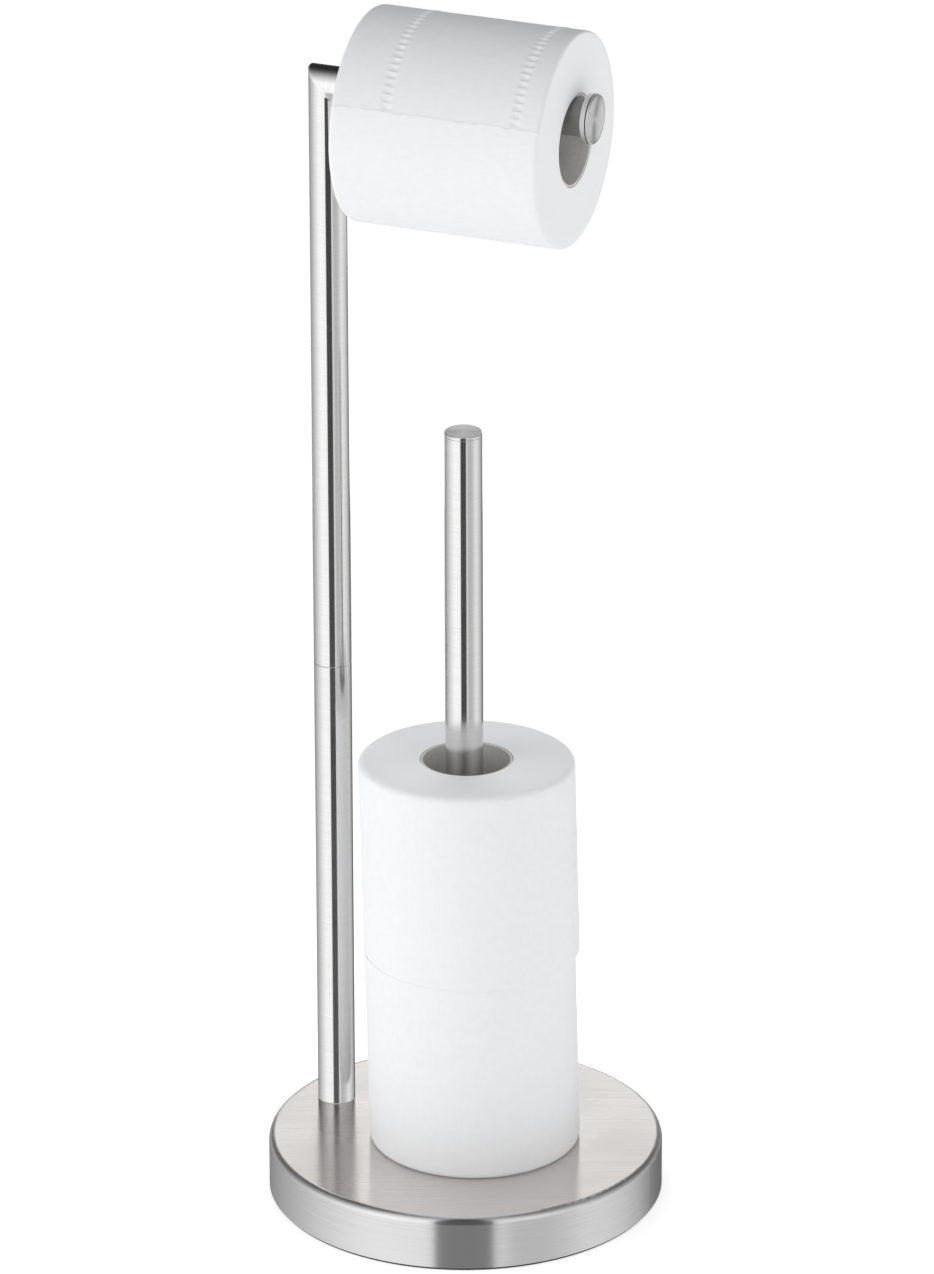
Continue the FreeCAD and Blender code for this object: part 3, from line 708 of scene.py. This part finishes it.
ROLL_RADIUS = ROLL_AXIS.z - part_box("hanging_roll_paper")[0].z
ROLL_BANDS = (28.4 * MM, 95.4 * MM)
ROLL_EDGES = (3 * MM, 2.2 * MM)
ROLL_STEPS = 560
ROLL_ROWS = 100
ROLL_SETTLE = 0.4 * MM
FREE_END_LIFT = 0.1 * MM
FREE_END_BEND = 5 * MM
LAST_SHEET = math.radians(115)
LAST_SHEET_BANDS = 0.1


def roll_in_use(angle, height):
    """Bands that are faint on the last sheet, and a last sheet that lifts a little at its free end."""
    shown = np.where(angle < LAST_SHEET, LAST_SHEET_BANDS, 1.0)
    lift = FREE_END_LIFT * np.exp(-angle * ROLL_RADIUS / FREE_END_BEND)
    bands = shown * dotted_bands(angle, height, ROLL_BANDS, ROLL_RADIUS)
    return bands + softness(angle, height) + lift - ROLL_SETTLE


hanging_paper = wind_paper("hanging_roll_wound_paper", ROLL_RADIUS, ROLL_WIDTH, ROLL_EDGES, ROLL_STEPS,
                           ROLL_ROWS, roll_in_use)
hang_on_arm(hanging_paper)
finish_with(hanging_paper, tissue("hanging_tissue", LAST_SHEET * ROLL_RADIUS))

SPARE_RADIUS = (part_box("lower_spare_roll_paper")[1].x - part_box("lower_spare_roll_paper")[0].x) / 2
SPARE_BANDS = (31 * MM, 76 * MM)
SPARE_EDGES = {"lower_spare_roll": (3 * MM, 0.2 * MM), "upper_spare_roll": (0.2 * MM, 3 * MM)}
SPARE_SWELL = {"lower_spare_roll": -0.6 * MM, "upper_spare_roll": 0.5 * MM}
SPARE_BANDS_SHOWN = 0.12
SPARE_STEPS = 360
SPARE_ROWS = 70
SPARE_TURN = math.radians(110)
TOP_SLOPE = math.tan(math.radians(2))
WHOLE_SHEET = 1.0


def spare_relief(swell):
    """The relief of an unopened roll: faint bands, unevenness, and how far it swells or shrinks."""
    def relief(angle, height):
        bands = SPARE_BANDS_SHOWN * dotted_bands(angle, height, SPARE_BANDS, SPARE_RADIUS)
        return bands + softness(angle, height) + swell

    return relief


def slope_top(piece, roll):
    """Lowers the far side of a roll's top, where the soft paper has settled."""
    low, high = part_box(f"{roll}_paper")
    away = np.array((-math.sin(CAMERA_SIDE), math.cos(CAMERA_SIDE)))
    centre = np.array(((low.x + high.x) / 2, (low.y + high.y) / 2))
    points = read_points(piece)
    behind = np.clip((points[:, :2] - centre) @ away + SPARE_RADIUS, 0, None)
    points[:, 2] -= TOP_SLOPE * behind * (points[:, 2] - low.z) / (high.z - low.z)
    write_points(piece, points)


spare_papers = {}
spare_tissue = tissue("spare_tissue", WHOLE_SHEET)
for roll, edges in SPARE_EDGES.items():
    low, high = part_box(f"{roll}_paper")
    spare_papers[roll] = wind_paper(f"{roll}_wound_paper", SPARE_RADIUS, high.z - low.z, edges, SPARE_STEPS,
                                    SPARE_ROWS, spare_relief(SPARE_SWELL[roll]))
    stand_on_rod(spare_papers[roll], roll, SPARE_TURN)
    finish_with(spare_papers[roll], spare_tissue)
slope_top(spare_papers["upper_spare_roll"], "upper_spare_roll")
slope_top(spare_cores["upper_spare_roll"], "upper_spare_roll")
for roll, paper in (("hanging_roll", hanging_paper), *spare_papers.items()):
    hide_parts(f"{roll}_paper")
    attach(paper, roll)

# Camera: a long lens in front of the stand, to the right of the arm's square view and well above it.
# Its place is the one that lines the stand's edges up with the picture.
CAMERA_REACH = 4.3395
CAMERA_HEIGHT = 2.1752
CAMERA_TILT = math.radians(23.342)
CAMERA_PAN = math.radians(0.02)
CAMERA_ROLL = math.radians(0.18)
FOCAL_PIXELS = 9500
PICTURE_HEIGHT = 1274

lens = bpy.data.cameras.new("camera")
lens.sensor_width = 36
lens.lens = FOCAL_PIXELS * lens.sensor_width / PICTURE_HEIGHT
lens.clip_end = 200
camera = bpy.data.objects.new("camera", lens)
bpy.context.collection.objects.link(camera)
camera_place = (CAMERA_REACH * math.sin(CAMERA_SIDE), -CAMERA_REACH * math.cos(CAMERA_SIDE), CAMERA_HEIGHT)
camera.matrix_world = (Matrix.Translation(camera_place)
                       @ Matrix.Rotation(CAMERA_SIDE - CAMERA_PAN, 4, "Z")
                       @ Matrix.Rotation(math.pi / 2 - CAMERA_TILT, 4, "X")
                       @ Matrix.Rotation(-CAMERA_ROLL, 4, "Z"))
bpy.context.scene.camera = camera

# Floor: a wide pale sweep that takes the stand's shadow and is lifted to white for the camera.
# Polished metal sees the studio below it instead, as on a small table.
FLOOR_WHITE = (0.86, 0.86, 0.86, 1)
FLOOR_SIZE = 120
FLOOR_DROP = 0.2 * MM
FLOOR_LIFT = 0.55
FLOOR_BOUNCE = 0.42

bpy.ops.object.select_all(action="DESELECT")
bpy.ops.mesh.primitive_plane_add(size=FLOOR_SIZE, location=(0, 0, -FLOOR_DROP))
floor = bpy.context.object
floor.name = "floor"
floor_paint = bpy.data.materials.new("floor_paint")
floor_paint.use_nodes = True
tree = floor_paint.node_tree
tree.nodes.remove(tree.nodes["Principled BSDF"])
matt = node(tree, "BsdfDiffuse", {"Color": FLOOR_WHITE})
paths = node(tree, "LightPath").outputs
bounce = maths(tree, "MULTIPLY", paths["Is Diffuse Ray"], FLOOR_BOUNCE)
strength = blend(tree, paths["Is Camera Ray"], bounce, FLOOR_LIFT, "FLOAT")
lift = node(tree, "Emission", {"Strength": strength})
mixed = node(tree, "AddShader", {0: matt.outputs[0], 1: lift.outputs[0]})
tree.links.new(mixed.outputs[0], tree.nodes["Material Output"].inputs["Surface"])
floor_paint.cycles.emission_sampling = "NONE"
finish_with(floor, floor_paint)
floor.visible_glossy = False

# Studio: steel reflects pale walls, brightest to the left of the camera, with a dark gap below it and
# darkness overhead and behind. White cards near the stand show in the base's top and in the end knob.
# Paper takes an even light from all round, a window lamp on the left and a low lamp behind the stack.
WALLS_LOW = ((-180, 0.2), (-150, 0.38), (-118, 0.62), (-98, 0.86), (-66, 1.26), (-50, 1.35), (-19, 1.28),
             (-17, 0.06), (15, 0.06), (17, 0.97), (21, 0.92), (29, 0.64), (46, 0.64), (60, 0.8), (75, 1.06),
             (90, 1.0), (104, 0.85), (116, 0.67), (126, 0.5), (136, 0.28), (150, 0.18), (180, 0.18))
WALLS_HIGH = ((-180, 0.6), (-120, 0.8), (-50, 1.4), (-19, 1.28), (-17, 0.12), (15, 0.12), (17, 1.15),
              (60, 1.05), (120, 0.8), (180, 0.6))
WALLS_SOFT = ((-180, 0.74), (-90, 1.28), (0, 0.67), (90, 1.18), (180, 0.74))
GROUND = 0.68
WALL_PEAK = 1.4
GROUND_EDGE = (-0.65, -0.42)
WALLS_MEET = (-0.2, 0.05)
CEILING_TILT = 0.9
CEILING_START = (-0.05, 0.1)
CEILING_FALL = (-0.28, 1.3)
CEILING_FALL_SOFT = (0.5, 1.15)
OVERHEAD = 0.05
OVERHEAD_SOFT = 0.02
BACK_CARD = (0.44, 0.49)
BACK_FOOT = 0.14
BACK_REACH = 0.55
BACK_LEVEL = 1.5
KNOB_CARDS = ((123.5, 0.058), (149.5, 0.068))
KNOB_CARD_HEIGHT = 0.2
KNOB_REACH = 0.23
KNOB_LEVEL = 0.93
WINDOW_SIDE = math.radians(-70)
WINDOW_RISE = math.radians(10)
WINDOW_REACH = 1.7
WINDOW_SIZE = 1.1
WINDOW_POWER = 4.4
STACK_LAMP_REACH = 0.42
STACK_LAMP_RISE = 0.21
STACK_LAMP_SIZE = 0.35
STACK_LAMP_POWER = 0.95


def wall_ramp(tree, turn, stops):
    """Brightness round the room, for a turn from 0 to 1 about the stand, from stops in degrees."""
    ramp = node(tree, "ValToRGB", {0: turn})
    elements = ramp.color_ramp.elements
    while len(elements) < len(stops):
        elements.new(0.5)
    for element, (degrees, level) in zip(elements, stops):
        element.position = (degrees + 180) / 360
        element.color = (level / WALL_PEAK,) * 3 + (1,)
    return ramp.outputs[0]


def light_studio():
    """White for the camera, the walls for polished metal and the soft light for everything else."""
    world = bpy.data.worlds.new("studio")
    bpy.context.scene.world = world
    world.use_nodes = True
    tree = world.node_tree
    way = node(tree, "TexCoord").outputs["Generated"]
    to_camera = vectors(tree, "DOT_PRODUCT", way, (math.sin(CAMERA_SIDE), -math.cos(CAMERA_SIDE), 0))
    to_right = vectors(tree, "DOT_PRODUCT", way, (math.cos(CAMERA_SIDE), math.sin(CAMERA_SIDE), 0))
    turn = spread(tree, maths(tree, "ARCTAN2", to_right, to_camera), -math.pi, math.pi, shape="LINEAR")
    rise = node(tree, "SeparateXYZ", {0: way}).outputs["Z"]
    ground = (GROUND / WALL_PEAK,) * 3 + (1,)
    low = blend(tree, spread(tree, rise, *GROUND_EDGE), ground, wall_ramp(tree, turn, WALLS_LOW))
    walls = blend(tree, spread(tree, rise, *WALLS_MEET), low, wall_ramp(tree, turn, WALLS_HIGH))
    overhead = maths(tree, "SUBTRACT", rise, maths(tree, "MULTIPLY", to_camera, CEILING_TILT))
    fall = spread(tree, overhead, *CEILING_FALL, 1.0, OVERHEAD, "LINEAR")
    above = spread(tree, rise, *CEILING_START)
    room = vectors(tree, "MULTIPLY", walls, blend(tree, above, (1, 1, 1), fall, "VECTOR"))
    soft_fall = spread(tree, overhead, *CEILING_FALL_SOFT, 1.0, OVERHEAD_SOFT, "LINEAR")
    soft = shaded(tree, wall_ramp(tree, turn, WALLS_SOFT), soft_fall)
    paths = node(tree, "LightPath").outputs
    light = blend(tree, paths["Is Glossy Ray"], soft, room)
    lit = node(tree, "Background", {"Color": light, "Strength": WALL_PEAK})
    white = node(tree, "Background", {"Color": (1, 1, 1, 1), "Strength": 1.0})
    mixed = node(tree, "MixShader", {0: paths["Is Camera Ray"], 1: lit.outputs[0], 2: white.outputs[0]})
    tree.nodes.remove(tree.nodes["Background"])
    tree.links.new(mixed.outputs[0], tree.nodes["World Output"].inputs["Surface"])
    world.cycles.sampling_method = "NONE"


light_studio()


def bearing(turn):
    """A level direction, by its turn from the camera towards the camera's right."""
    return Vector((math.sin(CAMERA_SIDE + turn), -math.cos(CAMERA_SIDE + turn), 0))


def add_card(name, centre, turn, width, height, level):
    """A glowing upright card that only polished metal sees."""
    bpy.ops.object.select_all(action="DESELECT")
    bpy.ops.mesh.primitive_plane_add(size=1, location=centre, rotation=(math.pi / 2, 0, CAMERA_SIDE + turn))
    card = bpy.context.object
    card.name = name
    card.scale = (width, height, 1)
    settle(card)
    paint = bpy.data.materials.new(name)
    paint.use_nodes = True
    tree = paint.node_tree
    tree.nodes.remove(tree.nodes["Principled BSDF"])
    glow = node(tree, "Emission", {"Strength": level})
    tree.links.new(glow.outputs[0], tree.nodes["Material Output"].inputs["Surface"])
    finish_with(card, paint)
    card.visible_camera = False
    card.visible_diffuse = False
    card.visible_shadow = False


back_place = bearing(math.pi) * BACK_REACH + UP * (BACK_FOOT + BACK_CARD[1] / 2)
add_card("back_card", back_place, math.pi, *BACK_CARD, BACK_LEVEL)
for number, (turn, width) in enumerate(KNOB_CARDS):
    to_card = bearing(math.radians(turn)) - UP * math.tan(CAMERA_TILT)
    add_card(f"knob_card_{number}", middle("arm_end_knob") + to_card * KNOB_REACH, math.radians(turn), width,
             KNOB_CARD_HEIGHT, KNOB_LEVEL)


def add_lamp(name, place, target, size, power):
    """A square lamp for paper and floor, which neither the camera nor polished metal sees."""
    light = bpy.data.lights.new(name, "AREA")
    light.size = size
    light.energy = power
    lamp = bpy.data.objects.new(name, light)
    bpy.context.collection.objects.link(lamp)
    lamp.location = place
    lamp.rotation_mode = "QUATERNION"
    lamp.rotation_quaternion = (place - target).to_track_quat("Z", "Y")
    lamp.visible_camera = False
    lamp.visible_glossy = False


stand_middle = (cad_box[0] + cad_box[1]) / 2
to_window = (bearing(WINDOW_SIDE) + UP * math.tan(WINDOW_RISE)).normalized()
add_lamp("window", stand_middle + to_window * WINDOW_REACH, stand_middle, WINDOW_SIZE, WINDOW_POWER)
stack_top = middle("upper_spare_roll_paper")
stack_top.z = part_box("upper_spare_roll_paper")[1].z
add_lamp("stack_lamp", stack_top + bearing(math.pi) * STACK_LAMP_REACH + UP * STACK_LAMP_RISE, stack_top,
         STACK_LAMP_SIZE, STACK_LAMP_POWER)

# The base and what lies in it stay out of the tubes' reflections, which keep their stripes down to the foot.
for part in ("base_cover", "base_weight", "base_pad", "post_foot_insert", "storage_rod_foot_insert",
             "fixing_screws", "fixing_washers"):
    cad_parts[part].visible_glossy = False

bpy.context.scene.view_settings.view_transform = "Standard"
